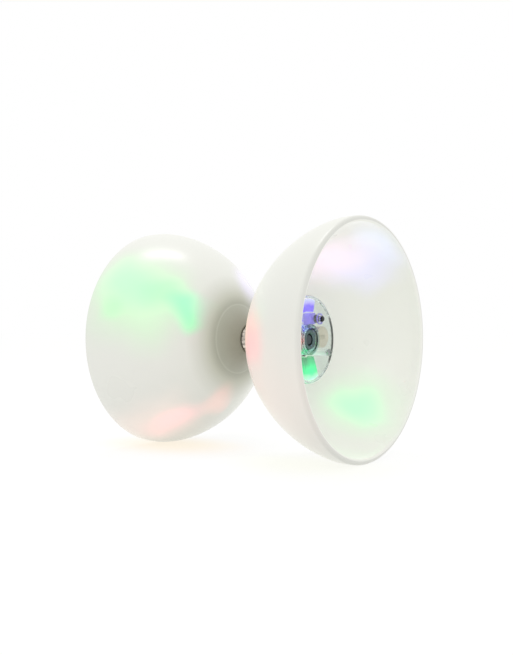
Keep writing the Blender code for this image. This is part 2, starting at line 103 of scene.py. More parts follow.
class CupSettings(bpy.types.PropertyGroup):
    """Sizes and colour of the two cups."""
    rim_radius: FloatProperty(name="Rim radius", description="Outer radius of a cup's rim",
                              default=width("right_cup", 2) / 2, unit="LENGTH")
    wall: FloatProperty(name="Wall", description="Thickness of the bell", default=2.6 * MM, unit="LENGTH")
    lip_round: FloatProperty(name="Lip rounding", description="Radius of the lip's edges",
                             default=1.8 * MM, unit="LENGTH")
    lip_inner_round: FloatProperty(name="Inner lip rounding", description="Radius of its inner edge",
                                   default=1.0 * MM, unit="LENGTH")
    rim_band: FloatProperty(name="Rim band", description="Straight band behind the lip",
                            default=3 * MM, unit="LENGTH")
    boss_radius: FloatProperty(name="Boss radius", description="Where the bell starts on the boss",
                               default=19.57 * MM, unit="LENGTH")
    boss_end: FloatProperty(name="Boss end", description="Where the bell starts along the axle",
                            default=13.2 * MM, unit="LENGTH")
    power_x: FloatProperty(name="Bell power along", description="Shape of the bell along the axle",
                           default=1.22)
    power_r: FloatProperty(name="Bell power across", description="Shape of the bell across the axle",
                           default=1.25)
    colour: FloatVectorProperty(name="Plastic", description="Colour of the frosted plastic",
                                default=(0.62, 0.625, 0.585), subtype="COLOR", size=3)
    # Painted glow: a plain emission on the cups that stands for light spreading through the frosted
    # plastic.
    lit: FloatProperty(name="Lit plastic", description="Light that spreads through the plastic",
                       default=0.25, subtype="FACTOR")
    roughness: FloatProperty(name="Roughness", description="How dull the frosted plastic is",
                             default=0.30, subtype="FACTOR")


class HubSettings(bpy.types.PropertyGroup):
    """Sizes and colours of the metal pieces on the axle."""
    groove: FloatProperty(name="String groove", description="Depth of the string groove",
                          default=0.9 * MM, unit="LENGTH")
    nut_width: FloatProperty(name="Nut width", description="Across the nut's flats",
                             default=10 * MM, unit="LENGTH")
    thread_pitch: FloatProperty(name="Thread pitch", description="Pitch of the axle's thread",
                                default=1 * MM, unit="LENGTH")
    nickel: FloatVectorProperty(name="Nickel", description="Colour of the string sleeve",
                                default=(0.44, 0.40, 0.35), subtype="COLOR", size=3)
    # Its dark teal default is painted shade on the nuts and washers, which lie in shade inside the light
    # modules.
    zinc: FloatVectorProperty(name="Zinc", description="Colour of nuts, washers and screws",
                              default=(0.12, 0.18, 0.18), subtype="COLOR", size=3)


class ModuleSettings(bpy.types.PropertyGroup):
    """Sizes and colours of the light modules."""
    chamfer: FloatProperty(name="Cover rounding", description="Rounding of the cover's front edge",
                           default=1 * MM, unit="LENGTH")
    clear: FloatVectorProperty(name="Clear plastic", description="Colour of the clear cover",
                               default=(0.93, 0.97, 0.96), subtype="COLOR", size=3)
    board: FloatVectorProperty(name="Circuit board", description="Colour of the circuit board",
                               default=(0.70, 0.74, 0.66), subtype="COLOR", size=3)
    cell: FloatVectorProperty(name="Button cells", description="Colour of the button cells",
                              default=(0.55, 0.50, 0.40), subtype="COLOR", size=3)
    edge_notches: IntProperty(name="Edge notches", description="Small notches in the cover's edge",
                              default=4, min=0)


class LightSettings(bpy.types.PropertyGroup):
    """Colours and strength of the lights."""
    blue: FloatVectorProperty(name="Blue", description="Colour of the blue-violet light",
                              default=(0.20, 0.12, 1.0), subtype="COLOR", size=3)
    red: FloatVectorProperty(name="Red", description="Colour of the red light",
                             default=(1.0, 0.10, 0.08), subtype="COLOR", size=3)
    green: FloatVectorProperty(name="Green", description="Colour of the green light",
                               default=(0.02, 0.95, 0.32), subtype="COLOR", size=3)
    power: FloatProperty(name="Power", description="Strength of the lit chips", default=6.0)
    body_power: FloatProperty(name="Body power", description="Strength of the lit resin", default=0.12)


class StageSettings(bpy.types.PropertyGroup):
    """Floor, lamps and camera."""
    floor_size: FloatProperty(name="Floor size", description="Side of the square floor",
                              default=8.0, unit="LENGTH")
    distance: FloatProperty(name="Camera distance", description="From the middle of the axle",
                            default=0.4517, unit="LENGTH")
    azimuth: FloatProperty(name="Camera azimuth", description="Turn of the camera round the object",
                           default=math.radians(37.53), subtype="ANGLE")
    elevation: FloatProperty(name="Camera elevation", description="Height angle of the camera",
                             default=math.radians(0.93), subtype="ANGLE")
    focal_length: FloatProperty(name="Focal length", description="In millimetres", default=44.72)
    lamp_power: FloatProperty(name="Lamp power", description="Of the overhead soft lamp, in watts",
                              default=1.6)


GROUPS = {
    "diabolo_cup": CupSettings,
    "diabolo_hub": HubSettings,
    "diabolo_module": ModuleSettings,
    "diabolo_light": LightSettings,
    "diabolo_stage": StageSettings,
}


# Places and shapes

def side_matrix(side):
    """From a side's own frame, with +X pointing out of its cup, to the whole object's frame."""
    return Matrix() if side == "right" else Matrix.Rotation(math.pi, 4, "Z")


def module_matrix(side):
    """From a light module's own frame, with its cells on +Y, to the whole object's frame."""
    low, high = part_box(f"{side}_cell_1")
    centre = side_matrix(side).inverted() @ ((Vector(low) + Vector(high)) / 2)
    return side_matrix(side) @ Matrix.Rotation(math.atan2(centre.z, centre.y), 4, "X")


def cell_distance():
    """The distance of the button cells from the axle."""
    low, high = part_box("right_cell_1")
    centre = (Vector(low) + Vector(high)) / 2
    return math.hypot(centre.y, centre.z)


def at_polar(angle, radius, x=0.0):
    """A place at an angle and a distance from the axle, turned to face outwards."""
    return Matrix.Rotation(angle, 4, "X") @ Matrix.Translation((x, radius, 0))


def arc(x, radius, size, start, end, steps=8):
    """Points of an arc in the (x, radius) plane, with its angles in degrees."""
    angles = [math.radians(start + (end - start) * i / steps) for i in range(steps + 1)]
    return [(x + size * math.cos(a), radius + size * math.sin(a)) for a in angles]


def lathe(outline, steps, closed=True):
    """A bmesh turned about the X axis from (x, radius) points."""
    bm = bmesh.new()
    ring = [bm.verts.new((x, radius, 0)) for x, radius in outline]
    edges = [bm.edges.new(pair) for pair in zip(ring, ring[1:])]
    if closed:
        edges.append(bm.edges.new((ring[-1], ring[0])))
    bmesh.ops.spin(bm, geom=ring + edges, cent=(0, 0, 0), axis=(1, 0, 0), dvec=(0, 0, 0),
                   angle=math.tau, steps=steps, use_merge=True, use_duplicate=False)
    bmesh.ops.remove_doubles(bm, verts=bm.verts, dist=MERGE)
    bmesh.ops.recalc_face_normals(bm, faces=bm.faces)
    return bm


def rod(start, end, radius, steps=SMALL, bevel=0.0, bore=0.0):
    """A round rod, plate or ring between two places on the X axis, with rounded outer edges."""
    if bevel:
        outer = arc(start + bevel, radius - bevel, bevel, 180, 90, 3)
        outer += arc(end - bevel, radius - bevel, bevel, 90, 0, 3)
    else:
        outer = [(start, radius), (end, radius)]
    return lathe([(start, bore)] + outer + [(end, bore)], steps, closed=bore > 0)


def block(x_span, y_span, z_span, bevel=0.0):
    """A block between pairs of coordinates, with rounded edges."""
    bm = bmesh.new()
    spans = (x_span, y_span, z_span)
    middle = Matrix.Translation([(low + high) / 2 for low, high in spans])
    size = Matrix.Diagonal([high - low for low, high in spans] + [1])
    bmesh.ops.create_cube(bm, size=1.0, matrix=middle @ size)
    if bevel:
        bmesh.ops.bevel(bm, geom=bm.edges[:], offset=bevel, offset_type="OFFSET", segments=3,
                        profile=0.5, affect="EDGES", material=-1, clamp_overlap=True)
    return bm


def merged(parts):
    """One bmesh made of several (bmesh, matrix) pairs."""
    whole = bmesh.new()
    for bm, matrix in parts:
        bmesh.ops.transform(bm, matrix=matrix, verts=bm.verts)
        mesh = bpy.data.meshes.new("part")
        bm.to_mesh(mesh)
        bm.free()
        whole.from_mesh(mesh)
        bpy.data.meshes.remove(mesh)
    return whole


def combined(base, tools, operation):
    """A bmesh with tool bmeshes joined to it or cut from it."""
    collection = bpy.context.scene.collection
    helpers = []
    for bm in [base] + tools:
        mesh = bpy.data.meshes.new("helper")
        bm.to_mesh(mesh)
        bm.free()
        helper = bpy.data.objects.new("helper", mesh)
        collection.objects.link(helper)
        helpers.append(helper)
    host = helpers[0]
    for helper in helpers[1:]:
        helper.hide_render = True
        modifier = host.modifiers.new("combine", "BOOLEAN")
        modifier.operation = operation
        modifier.solver = "EXACT"
        modifier.object = helper
    depsgraph = bpy.context.evaluated_depsgraph_get()
    result = bpy.data.meshes.new_from_object(host.evaluated_get(depsgraph))
    bm = bmesh.new()
    bm.from_mesh(result)
    bpy.data.meshes.remove(result)
    for helper in helpers:
        mesh = helper.data
        bpy.data.objects.remove(helper)
        bpy.data.meshes.remove(mesh)
    return bm


def add_piece(name, bm, material, body, nodes=(), matrix=None):
    """A finished piece in the scene, riding on a CAD body and standing for CAD nodes."""
    if matrix is not None:
        bmesh.ops.transform(bm, matrix=matrix, verts=bm.verts)
    bmesh.ops.remove_doubles(bm, verts=bm.verts, dist=MERGE)
    bmesh.ops.recalc_face_normals(bm, faces=bm.faces)
    mesh = bpy.data.meshes.new(name)
    bm.to_mesh(mesh)
    bm.free()
    mesh.shade_smooth()
    mesh.set_sharp_from_angle(angle=SHARP)
    mesh.materials.append(material)
    piece = bpy.data.objects.new(name, mesh)
    bpy.context.scene.collection.objects.link(piece)
    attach(piece, body)
    if nodes:
        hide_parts(*nodes)
    return piece


# Materials

def srgb(red, green, blue):
    """A linear colour from display values between 0 and 255."""
    def linear(value):
        share = value / 255
        return share / 12.92 if share <= 0.04045 else ((share + 0.055) / 1.055) ** 2.4
    return (linear(red), linear(green), linear(blue), 1.0)


class Finish:
    """A procedural material that is put together socket by socket on the object's coordinates."""

    def __init__(self, name):
        self.material = bpy.data.materials.new(name)
        self.material.use_nodes = True
        self.tree = self.material.node_tree
        self.shader = self.tree.nodes["Principled BSDF"]
        self.place = self.tree.nodes.new("ShaderNodeTexCoord").outputs["Object"]

    def link(self, value, socket):
        """Joins a socket, or sets a plain value."""
        if isinstance(value, bpy.types.NodeSocket):
            self.tree.links.new(value, socket)
        else:
            socket.default_value = value

    def math(self, operation, first, second=0.0):
        """A sum of two numbers."""
        node = self.tree.nodes.new("ShaderNodeMath")
        node.operation = operation
        self.link(first, node.inputs[0])
        self.link(second, node.inputs[1])
        return node.outputs[0]

    def vector(self, operation, first, second=(0, 0, 0), third=(0, 0, 0)):
        """A sum of vectors; a length comes back as a number."""
        node = self.tree.nodes.new("ShaderNodeVectorMath")
        node.operation = operation
        for value, socket in zip((first, second, third), node.inputs):
            self.link(value, socket)
        return node.outputs["Value" if operation == "LENGTH" else "Vector"]

    def scaled(self, colour, factor):
        """A colour times a number."""
        node = self.tree.nodes.new("ShaderNodeVectorMath")
        node.operation = "SCALE"
        self.link(colour, node.inputs[0])
        self.link(factor, node.inputs["Scale"])
        return node.outputs[0]

    def mapped(self, scale=(1, 1, 1), place=(0, 0, 0), turn=(0, 0, 0), kind="POINT"):
        """The object's coordinates, scaled, moved and turned."""
        node = self.tree.nodes.new("ShaderNodeMapping")
        node.vector_type = kind
        node.inputs["Location"].default_value = place
        node.inputs["Rotation"].default_value = turn
        node.inputs["Scale"].default_value = scale
        self.link(self.place, node.inputs["Vector"])
        return node.outputs[0]

    def noise(self, where, scale, detail=3.0, output="Fac"):
        """A cloud pattern; scale is in clouds per metre."""
        node = self.tree.nodes.new("ShaderNodeTexNoise")
        node.inputs["Scale"].default_value = scale
        node.inputs["Detail"].default_value = detail
        self.link(where, node.inputs["Vector"])
        return node.outputs[output]

    def spread(self, value, low, high, start=0.0, end=1.0, smooth=False):
        """A value moved from one range to another."""
        node = self.tree.nodes.new("ShaderNodeMapRange")
        node.interpolation_type = "SMOOTHERSTEP" if smooth else "LINEAR"
        self.link(value, node.inputs["Value"])
        node.inputs["From Min"].default_value = low
        node.inputs["From Max"].default_value = high
        node.inputs["To Min"].default_value = start
        node.inputs["To Max"].default_value = end
        return node.outputs[0]

    def mix(self, share, first, second):
        """One colour laid over another."""
        node = self.tree.nodes.new("ShaderNodeMix")
        node.data_type = "RGBA"
        self.link(share, node.inputs["Factor"])
        self.link(first, node.inputs[6])
        self.link(second, node.inputs[7])
        return node.outputs[2]

    def ramp(self, value, stops):
        """A colour that follows a value through (place, colour) stops."""
        node = self.tree.nodes.new("ShaderNodeValToRGB")
        self.link(value, node.inputs[0])
        band = node.color_ramp
        band.elements[0].position = stops[0][0]
        band.elements[0].color = stops[0][1]
        band.elements[1].position = stops[-1][0]
        band.elements[1].color = stops[-1][1]
        for place, colour in stops[1:-1]:
            band.elements.new(place).color = colour
        return node.outputs[0]

    def bump(self, height, distance):
        """A fine relief on the surface."""
        node = self.tree.nodes.new("ShaderNodeBump")
        node.inputs["Distance"].default_value = distance
        node.inputs["Strength"].default_value = 0.5
        self.link(height, node.inputs["Height"])
        self.link(node.outputs[0], self.shader.inputs["Normal"])

    def spot(self, wobbled, x, angle, radius, half_size):
        """How strongly a patch of light shows, from 1 at its middle to 0 at its edge."""
        centre = (x, radius * math.cos(angle), radius * math.sin(angle))
        node = self.tree.nodes.new("ShaderNodeMapping")
        node.vector_type = "TEXTURE"
        node.inputs["Location"].default_value = centre
        node.inputs["Rotation"].default_value = (angle, 0, 0)
        node.inputs["Scale"].default_value = (half_size[0], 0.03, half_size[1])
        self.link(wobbled, node.inputs["Vector"])
        return self.spread(self.vector("LENGTH", node.outputs[0]), 0.0, 1.0, 1.0, 0.0, smooth=True)


def plain_finish(name, colour, roughness, metallic=0.0, transmission=0.0, grain=400.0, depth=0.06,
                 stretch=(1, 1, 1), glow=None, glow_power=0.0, ior=1.46):
    """A finish with a fine grain in its colour and its gloss."""
    if name in bpy.data.materials:
        return bpy.data.materials[name]
    finish = Finish(name)
    pattern = finish.spread(finish.noise(finish.mapped(scale=stretch), grain), 0.35, 0.65)
    dark = tuple(c * (1 - depth) for c in colour) + (1.0,)
    light = tuple(min(1.0, c * (1 + depth)) for c in colour) + (1.0,)
    finish.link(finish.mix(pattern, dark, light), finish.shader.inputs["Base Color"])
    gloss = finish.spread(pattern, 0.3, 0.7, roughness * 0.8, min(1.0, roughness * 1.2))
    finish.link(gloss, finish.shader.inputs["Roughness"])
    finish.shader.inputs["Metallic"].default_value = metallic
    finish.shader.inputs["Transmission Weight"].default_value = transmission
    finish.shader.inputs["IOR"].default_value = ior
    if glow is not None:
        finish.shader.inputs["Emission Color"].default_value = (*glow, 1.0)
        finish.shader.inputs["Emission Strength"].default_value = glow_power
    return finish.material


# Painted patches of coloured light on the cups, standing for the lights inside: place along the axle and
# angle about it in millimetres and degrees, half sizes along and round, the painted shift in the
# plastic's colour, and the painted light it gives off.
CUP_GLOWS = {
    ("left", "outside"): (
        (40, 153, 54, 44, (0.82, 1.00, 0.84), (0.00, 0.20, 0.00)),
        (46, 148, 29, 22, (0.72, 1.00, 0.78), (0.03, 0.26, 0.10)),
        (29, 151, 20, 16, (0.66, 1.00, 0.72), (0.02, 0.24, 0.07)),
        (21, 153, 9, 15, (0.45, 1.00, 0.65), (0.00, 0.24, 0.10)),
        (20, 163, 6, 8, (0.75, 1.00, 0.80), (0.00, 0.10, 0.02)),
        (55, 164, 12, 10, (0.80, 1.00, 0.84), (0.00, 0.10, 0.02)),
        (44, 238, 46, 32, (1.00, 0.93, 0.91), (0.18, 0.11, 0.10)),
        (38, 242, 27, 15, (1.00, 0.72, 0.75), (0.26, 0.11, 0.12)),
        (21, 257, 13, 17, (1.00, 0.80, 0.78), (0.22, 0.10, 0.09)),
        (22, 62, 14, 16, (0.95, 0.92, 1.00), (0.14, 0.12, 0.24)),
    ),
    ("left", "inside"): (
        (42, 150, 34, 26, (0.60, 1.00, 0.70), (0.02, 0.24, 0.08)),
        (38, 243, 30, 22, (1.00, 0.80, 0.78), (0.22, 0.08, 0.07)),
        (38, 60, 30, 24, (0.85, 0.82, 1.00), (0.10, 0.08, 0.22)),
    ),
    ("right", "outside"): (
        (48, 205, 52, 52, (1.00, 0.95, 0.93), (0.06, 0.02, 0.02)),
        (32, 179, 25, 26, (1.00, 0.56, 0.60), (0.28, 0.06, 0.07)),
        (22, 168, 13, 20, (1.00, 0.95, 0.85), (0.14, 0.08, 0.03)),
        (34, 66, 30, 24, (0.95, 0.88, 1.00), (0.08, 0.04, 0.12)),
        (42, 313, 30, 24, (0.70, 1.00, 0.78), (0.00, 0.18, 0.05)),
    ),
    ("right", "inside"): (
        (33, 68, 42, 30, (0.98, 0.90, 0.98), (0.27, 0.17, 0.27)),
        (46, 48, 32, 24, (0.92, 0.92, 1.00), (0.09, 0.08, 0.25)),
        (61, 64, 16, 28, (0.94, 0.98, 1.00), (0.10, 0.12, 0.24)),
        (40, 313, 44, 36, (0.86, 1.00, 0.88), (0.00, 0.14, 0.02)),
        (42, 313, 24, 18, (0.58, 1.00, 0.68), (0.02, 0.28, 0.10)),
    ),
}


def bowl_radius(x):
    """The bell's outer radius at a place along the axle."""
    settings = bpy.context.scene.diabolo_cup
    low, high = 0.0, math.pi / 2
    for _ in range(30):
        middle = (low + high) / 2
        if bowl_point(middle)[0] < x:
            low = middle
        else:
            high = middle
    return min(bowl_point(low)[1], settings.rim_radius)


def frosted_finish(side, face):
    """The frosted plastic on the outside or inside of a cup, with a painted glow, painted patches of the
    lights' glow and, outside, painted shade near the hub and at the lip.
    """
    settings = bpy.context.scene.diabolo_cup
    finish = Finish(f"frosted plastic {side} {face}")
    clouds = finish.noise(finish.place, 30.0)
    pale = (*settings.colour, 1.0)
    colour = finish.mix(clouds, tuple(c * 0.97 for c in settings.colour) + (1.0,), pale)
    # Painted glow: a plain emission standing for light spreading through the plastic, a little stronger
    # on the inside.
    lit = settings.lit if face == "outside" else settings.lit + 0.07
    glow = (lit, lit, lit * 0.92)
    if face == "outside":
        # Painted shade: darker towards the hub, where the light module shows through the wall as a grey
        # shade, with a thin painted light ring for the highlight on the boss's edge.
        from_axle = finish.vector("LENGTH", finish.vector("MULTIPLY", finish.place, (0, 1, 1)))
        shade = finish.ramp(finish.spread(from_axle, 8 * MM, 36 * MM), (
            (0.0, (0.36, 0.34, 0.28, 1.0)),
            (0.15, (0.44, 0.42, 0.36, 1.0)),
            (0.385, (0.55, 0.55, 0.49, 1.0)),
            (0.405, (0.64, 0.64, 0.58, 1.0)),
            (0.425, (0.57, 0.57, 0.51, 1.0)),
            (0.6, (0.76, 0.76, 0.70, 1.0)),
            (0.8, (0.90, 0.90, 0.88, 1.0)),
            (1.0, (1.0, 1.0, 1.0, 1.0)),
        ))
        colour = finish.vector("MULTIPLY", colour, shade)
        glow = finish.vector("MULTIPLY", shade, glow)
        # Painted shade: the plastic's colour and its painted glow fall off at the edge of the lip.
        along = finish.vector("LENGTH", finish.vector("MULTIPLY", finish.place, (1, 0, 0)))
        lip = finish.spread(along, far("right_cup") - 2.2 * MM, far("right_cup") - 0.6 * MM, 1.0, 0.93)
        colour = finish.scaled(colour, lip)
        glow = finish.scaled(glow, finish.spread(
            along, far("right_cup") - 2.2 * MM, far("right_cup") - 0.6 * MM, 1.0, 0.88))
    cloud = finish.noise(finish.place, 38.0, 1.0, output="Color")
    shift = finish.vector("SUBTRACT", cloud, (0.5, 0.5, 0.5))
    wobbled = finish.vector("MULTIPLY_ADD", shift, (0.016, 0.016, 0.016), finish.place)
    outward = 1 if side == "right" else -1
    # Painted patches of the lights' coloured glow, in the plastic's colour and in its emission.
    for x, degrees, half_x, half_round, painted_tint, given in CUP_GLOWS[side, face]:
        radius = bowl_radius(x * MM)
        strength = finish.spot(wobbled, outward * x * MM, math.radians(degrees), radius,
                               (half_x * MM, half_round * MM))
        colour = finish.mix(strength, colour, finish.vector("MULTIPLY", colour, painted_tint))
        glow = finish.vector("ADD", finish.scaled(given, strength), glow)
    finish.link(colour, finish.shader.inputs["Base Color"])
    finish.link(glow, finish.shader.inputs["Emission Color"])
    finish.shader.inputs["Emission Strength"].default_value = 1.0
    gloss = finish.spread(clouds, 0.3, 0.7, settings.roughness * 0.9, settings.roughness * 1.1)
    finish.link(gloss, finish.shader.inputs["Roughness"])
    finish.bump(finish.noise(finish.place, 900.0), 0.02 * MM)
    return finish.material


# Cups

def bowl_point(t, depth=0.0):
    """A point of the bell's outer curve, or one at a depth under it; t is from 0 to a right angle."""
    settings = bpy.context.scene.diabolo_cup
    end = far("right_cup") - settings.lip_round - settings.rim_band
    length = end - settings.boss_end
    spread = settings.rim_radius - settings.boss_radius
    x = end - length * math.cos(t) ** settings.power_x
    radius = settings.boss_radius + spread * math.sin(t) ** settings.power_r
    along_x = settings.power_x * length * math.cos(t) ** (settings.power_x - 1) * math.sin(t)
    along_r = settings.power_r * spread * math.sin(t) ** (settings.power_r - 1) * math.cos(t)
    slope = math.hypot(along_x, along_r)
    return x + depth * along_r / slope, radius - depth * along_x / slope


class DIABOLO_OT_cups(bpy.types.Operator):
    """Turn the two bell-shaped cups, with their bosses, light seats and rounded lips"""
    bl_idname = "diabolo.cups"
    bl_label = "Cups"

    def execute(self, context):
        settings = context.scene.diabolo_cup
        lip_start = far("right_cup") - settings.lip_round
        boss_face = near("right_cup")
        boss_hole = width("right_hub_bush", 1) / 2 + GAP
        bush_seat = boss_face + 1.8 * MM
        floor = near("right_light_tray") - GAP
        floor_radius = width("right_light_cover", 1) / 2 + 2.6 * MM
        spigot_hole = 5.3 * MM
        lip_inner = settings.rim_radius - settings.lip_round - 0.3 * MM
        inner_round = settings.lip_inner_round
        outside = [bowl_point(math.radians(1.5 + i * 1.5)) for i in range(58)]
        inside = [bowl_point(math.radians(88 - i * 1.5), settings.wall) for i in range(44)]
        inside = [point for point in inside if point[0] < lip_start - 1.5 * MM]
        outline = [
            (bush_seat, boss_hole),
            (boss_face + 0.15 * MM, boss_hole),
            *arc(boss_face + 0.3 * MM, boss_hole + 0.7 * MM, 0.3 * MM, 180, 120, 4),
            (settings.boss_end - 0.2 * MM, settings.boss_radius - 0.15 * MM),
            *outside[1:],
            (lip_start - settings.rim_band, settings.rim_radius),
            *arc(lip_start, settings.rim_radius - settings.lip_round, settings.lip_round, 90, 0),
            *arc(lip_start + settings.lip_round - inner_round, lip_inner, inner_round, 0, -90),
            *inside,
            (floor + 0.4 * MM, floor_radius + 0.25 * MM),
            (floor, floor_radius - 0.4 * MM),
            (floor, spigot_hole),
            (bush_seat, spigot_hole),
        ]
        for side in SIDES:
            cup = add_piece(f"{side}_frosted_cup", lathe(outline, ROUND),
                            frosted_finish(side, "outside"), "rotor",
                            [f"{side}_cup"], side_matrix(side))
            cup.data.materials.append(frosted_finish(side, "inside"))
            for face in cup.data.polygons:
                across = Vector((0, face.center.y, face.center.z))
                inner_wall = face.normal.dot(across) < 0
                seat = face.normal.x * face.center.x > 0 and abs(face.center.x) < floor + 0.5 * MM
                if abs(face.center.x) > floor - 0.1 * MM and (inner_wall or seat):
                    face.material_index = 1
        return {"FINISHED"}


# Hub and axle

class DIABOLO_OT_sleeve(bpy.types.Operator):
    """Turn the plated sleeve that the string runs on"""
    bl_idname = "diabolo.sleeve"
    bl_label = "String sleeve"

    def execute(self, context):
        settings = context.scene.diabolo_hub
        end = far("string_sleeve")
        radius = width("string_sleeve", 2) / 2
        bore = width("right_outer_race", 2) / 2 + GAP
        land = 0.85 * MM
        groove = []
        for i in range(25):
            share = i / 12 - 1
            depth = settings.groove * (1 - share ** 2)
            groove.append(((end - land) * share, radius - depth))
        edge = 0.2 * MM
        outline = [
            (-end, bore),
            (-end, radius - edge),
            (-end + edge, radius),
            *groove,
            (end - edge, radius),
            (end, radius - edge),
            (end, bore),
        ]
        # The strong streaks along the axle in the nickel's colour are painted reflections of darker
        # surroundings.
        nickel = plain_finish("bright nickel", settings.nickel, 0.16, metallic=1.0, grain=520,
                              depth=0.75, stretch=(0.02, 1, 1))
        add_piece("plated_sleeve", lathe(outline, FINE), nickel, "string_sleeve",
                  ["string_sleeve"])
        return {"FINISHED"}


class DIABOLO_OT_axle(bpy.types.Operator):
    """Turn the threaded axle, and make its washers and chamfered hexagon nuts"""
    bl_idname = "diabolo.axle"
    bl_label = "Axle, washers and nuts"

    def execute(self, context):
        settings = context.scene.diabolo_hub
        end = far("axle")
        radius = 3 * MM
        core = radius - 0.45 * MM
        start = near("right_axle_nut") - 1.5 * MM
        thread = []
        turns = int((end - 0.5 * MM - start) / settings.thread_pitch)
        for i in range(turns):
            x = start + i * settings.thread_pitch
            thread.append((x, radius - 0.05 * MM))
            thread.append((x + settings.thread_pitch / 2, core))
        half = [(0.0, radius - 0.02 * MM)] + thread
        half += [(end - 0.5 * MM, radius - 0.1 * MM), (end, core - 0.1 * MM), (end, 0.0)]
        outline = [(-x, r) for x, r in reversed(half[1:])] + half
        # The axle's dark colour is painted shade, as its ends lie in the shade of the covers' centre
        # wells.
        steel = plain_finish("axle steel", (0.08, 0.10, 0.11), 0.35, metallic=1.0, grain=500)
        add_piece("threaded_axle", lathe(outline, SMALL, closed=False), steel, "rotor",
                  ["axle"])
        # The nuts and washers are dark with painted shade.
        zinc = plain_finish("bright zinc", settings.zinc, 0.34, metallic=1.0, grain=600, depth=0.12)
        bore = radius + 0.06 * MM
        low, high = near("right_axle_nut"), far("right_axle_nut")
        corner = settings.nut_width / math.sqrt(3)
        for side in SIDES:
            washer = rod(near("right_axle_washer"), far("right_axle_washer"), 5.4 * MM, SMALL,
                         0.15 * MM, bore)
            add_piece(f"{side}_plain_washer", washer, zinc, "rotor",
                      [f"{side}_axle_washer"], side_matrix(side))
            hexagon = rod(low, high, corner, 6)
            cone = lathe([(low, 0.0), (low, corner - 0.7 * MM), (low + 0.5 * MM, corner + 0.1 * MM),
                          (high - 0.5 * MM, corner + 0.1 * MM), (high, corner - 0.7 * MM),
                          (high, 0.0)], FINE, closed=False)
            hole = lathe([(low - 1 * MM, 0.0), (low - 1 * MM, bore), (high - 0.5 * MM, bore),
                          (high + 0.1 * MM, bore + 0.6 * MM), (high + 0.1 * MM, 0.0)], SMALL,
                         closed=False)
            nut = combined(combined(hexagon, [cone], "INTERSECT"), [hole], "DIFFERENCE")
            add_piece(f"{side}_hexagon_nut", nut, zinc, "rotor", [f"{side}_axle_nut"],
                      module_matrix(side) @ Matrix.Rotation(math.radians(12), 4, "X"))
        return {"FINISHED"}


class DIABOLO_OT_bearings(bpy.types.Operator):
    """Give the bushes and the ball bearings in the hub their turned and ground finishes"""
    bl_idname = "diabolo.bearings"
    bl_label = "Bearings and bushes"

    def execute(self, context):
        finishes = {
            "hub_bush": plain_finish("turned alloy", (0.62, 0.62, 0.62), 0.34, metallic=1.0),
            "inner_race": plain_finish("ground steel", (0.55, 0.55, 0.57), 0.2, metallic=1.0),
            "outer_race": plain_finish("ground steel", (0.55, 0.55, 0.57), 0.2, metallic=1.0),
            "ball_cage": plain_finish("polished balls", (0.62, 0.62, 0.64), 0.12, metallic=1.0),
        }
        for side in SIDES:
            for kind, finish in finishes.items():
                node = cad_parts[f"{side}_{kind}"]
                for slot in node.material_slots:
                    slot.material = finish
        return {"FINISHED"}


# Light modules

def module_place(side, angle, radius, x=0.0):
    """A place in one side's light module, in the whole object's frame."""
    return module_matrix(side) @ at_polar(angle, radius, x)


class DIABOLO_OT_trays(bpy.types.Operator):
    """Turn the clear bases, with their centre posts, locating rings and screw bosses"""
    bl_idname = "diabolo.trays"
    bl_label = "Light bases"

    def execute(self, context):
        start = near("right_light_tray")
        post_end = far("right_light_tray")
        radius = width("right_light_cover", 1) / 2
        top = start + 1.5 * MM
        board = near("right_circuit_board") - GAP
        screw_place = radius - 4.2 * MM
        # Painted glow: the bases give off a soft light that stands for light reaching them through the
        # clear covers.
        milky = plain_finish("milky clear plastic", (0.86, 0.90, 0.89), 0.22, transmission=0.35,
                             grain=120, depth=0.04, glow=(0.78, 0.82, 0.80), glow_power=0.22)
        for side in SIDES:
            body = lathe([
                (start, 3.3 * MM), (start, radius - 0.3 * MM), (start + 0.3 * MM, radius),
                (top, radius), (top, radius - 1.9 * MM), (top + 2.5 * MM, radius - 1.9 * MM),
                (top + 2.5 * MM, radius - 2.9 * MM), (top, radius - 2.9 * MM), (top, 8 * MM),
                (board, 8 * MM), (board, 5.4 * MM), (post_end, 5.4 * MM), (post_end, 3.3 * MM),
            ], FINE)
            bosses = []
            for angle in SCREW_ANGLES:
                boss = rod(top - 0.5 * MM, far("right_contact_strap") - 0.1 * MM, 1.9 * MM, 24,
                           bore=0.95 * MM)
                bmesh.ops.transform(boss, matrix=at_polar(angle, screw_place), verts=boss.verts)
                bosses.append(boss)
            add_piece(f"{side}_clear_base", combined(body, bosses, "UNION"), milky, "rotor",
                      [f"{side}_light_tray"], module_matrix(side))
        return {"FINISHED"}


